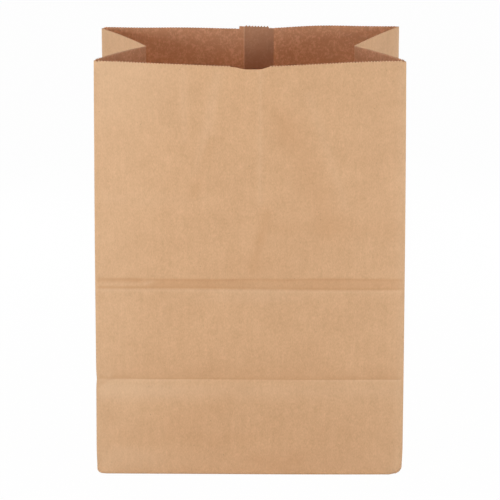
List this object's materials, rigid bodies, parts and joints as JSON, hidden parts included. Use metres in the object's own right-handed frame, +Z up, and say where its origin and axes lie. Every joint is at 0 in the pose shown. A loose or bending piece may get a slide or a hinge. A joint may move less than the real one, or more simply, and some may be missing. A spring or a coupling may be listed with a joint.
{
  "type": "paper grocery bag",
  "caption": "Brown kraft paper grocery bag: open saw-toothed mouth with a thumb notch, gusseted sides, pasted back seam and a folded block bottom to stand on.",
  "frame": {"origin": "middle of the base, on the ground", "axes": "+Z up to the mouth, +X across the front from its left fold to its right, front face looking along -Y"},
  "size_m": [0.2582, 0.1815, 0.3568],
  "materials": {
    "kraft_paper": "uncoated matt brown kraft"
  },
  "bodies": {
    "root": {"paper_bag": "kraft_paper"}
  },
  "joints": []
}
